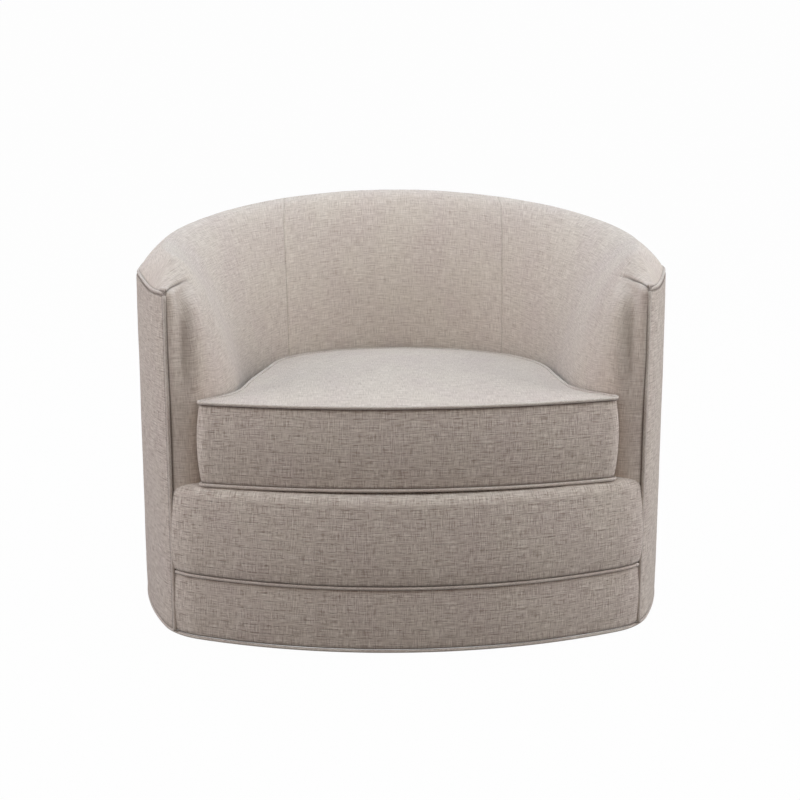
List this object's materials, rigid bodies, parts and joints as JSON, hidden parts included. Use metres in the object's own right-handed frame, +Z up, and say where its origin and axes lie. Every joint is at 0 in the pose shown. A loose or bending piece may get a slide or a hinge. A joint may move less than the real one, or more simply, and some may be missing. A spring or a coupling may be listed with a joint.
{
  "type": "swivel barrel chair",
  "caption": "Upholstered tub chair with a rolled top edge, welted seams and a loose T-shaped seat cushion, turning on a hidden ball bearing plinth.",
  "frame": {"origin": "on the floor under the middle of the plan, on the swivel axis", "axes": "+Z up, the front of the seat faces -Y, +X to the right seen from the front"},
  "size_m": [0.866, 0.7891, 0.623],
  "materials": {
    "linen": "slubby oatmeal linen weave",
    "welt_linen": "the same linen cut on the bias over cord",
    "padding": "cotton felt and foam in muslin",
    "cushion_fill": "foam core with a fibre wrap",
    "frame_wood": "plain sawn hardwood and plywood",
    "shell_board": "thin bent board",
    "swivel_steel": "zinc plated pressed steel",
    "ball_steel": "polished bearing steel",
    "cage_brass": "pressed sheet brass",
    "spring_steel": "dark oiled spring wire",
    "tie_cord": "paper covered wire",
    "glide_plastic": "moulded nylon",
    "dust_cloth": "black spun cloth",
    "zip_cloth": "woven tape with a nylon coil",
    "zip_metal": "enamelled die casting"
  },
  "bodies": {
    "base": {"plinth": "frame_wood", "glides": "glide_plastic", "lower_swivel_plate": "swivel_steel", "bearing_balls": "ball_steel", "ball_cage": "cage_brass", "swivel_rivet": "swivel_steel", "lower_plate_screws": "swivel_steel"},
    "chair": {"upper_swivel_plate": "swivel_steel", "upper_plate_screws": "swivel_steel", "left_swivel_rail": "frame_wood", "right_swivel_rail": "frame_wood", "bottom_ring": "frame_wood", "front_rail": "frame_wood", "left_arm_post": "frame_wood", "right_arm_post": "frame_wood", "left_side_post": "frame_wood", "right_side_post": "frame_wood", "left_back_post": "frame_wood", "middle_back_post": "frame_wood", "right_back_post": "frame_wood", "seat_ring": "frame_wood", "rim_rail": "frame_wood", "shell_board": "shell_board", "band_board": "shell_board", "seat_spring_1": "spring_steel", "seat_spring_2": "spring_steel", "seat_spring_3": "spring_steel", "seat_spring_4": "spring_steel", "seat_spring_5": "spring_steel", "spring_clips": "spring_steel", "spring_ties": "tie_cord", "seat_deck": "padding", "left_arm_pad": "linen", "back_pad": "linen", "right_arm_pad": "linen", "front_apron": "linen", "lower_band": "linen", "outside_left_panel": "linen", "outside_back_panel": "linen", "outside_right_panel": "linen", "top_welt": "welt_linen", "left_arm_welt": "welt_linen", "right_arm_welt": "welt_linen", "band_welt": "welt_linen", "bottom_welt": "welt_linen", "dust_cover": "dust_cloth"},
    "seat_cushion": {"cushion_core": "cushion_fill", "cushion_top_panel": "linen", "cushion_boxing": "linen", "cushion_bottom_panel": "linen", "cushion_top_welt": "welt_linen", "cushion_bottom_welt": "welt_linen", "zip_tape": "zip_cloth"},
    "zip_slider": {"zip_slider": "zip_metal", "zip_pull": "zip_metal"}
  },
  "joints": [
    {"name": "seat_swivel", "type": "hinge", "parent": "base", "child": "chair", "pos_m": [0, 0, 0.05], "axis": [0, 0, 1], "continuous": true},
    {"name": "seat_cushion_lift", "type": "slide", "parent": "chair", "child": "seat_cushion", "axis": [0, 0, 1], "range_m": [0, 0.36]},
    {"name": "zip_travel", "type": "hinge", "parent": "seat_cushion", "child": "zip_slider", "pos_m": [0, -0.042, 0.30602], "axis": [0, 0.0698, 0.9976], "range_deg": [0, 82]}
  ]
}
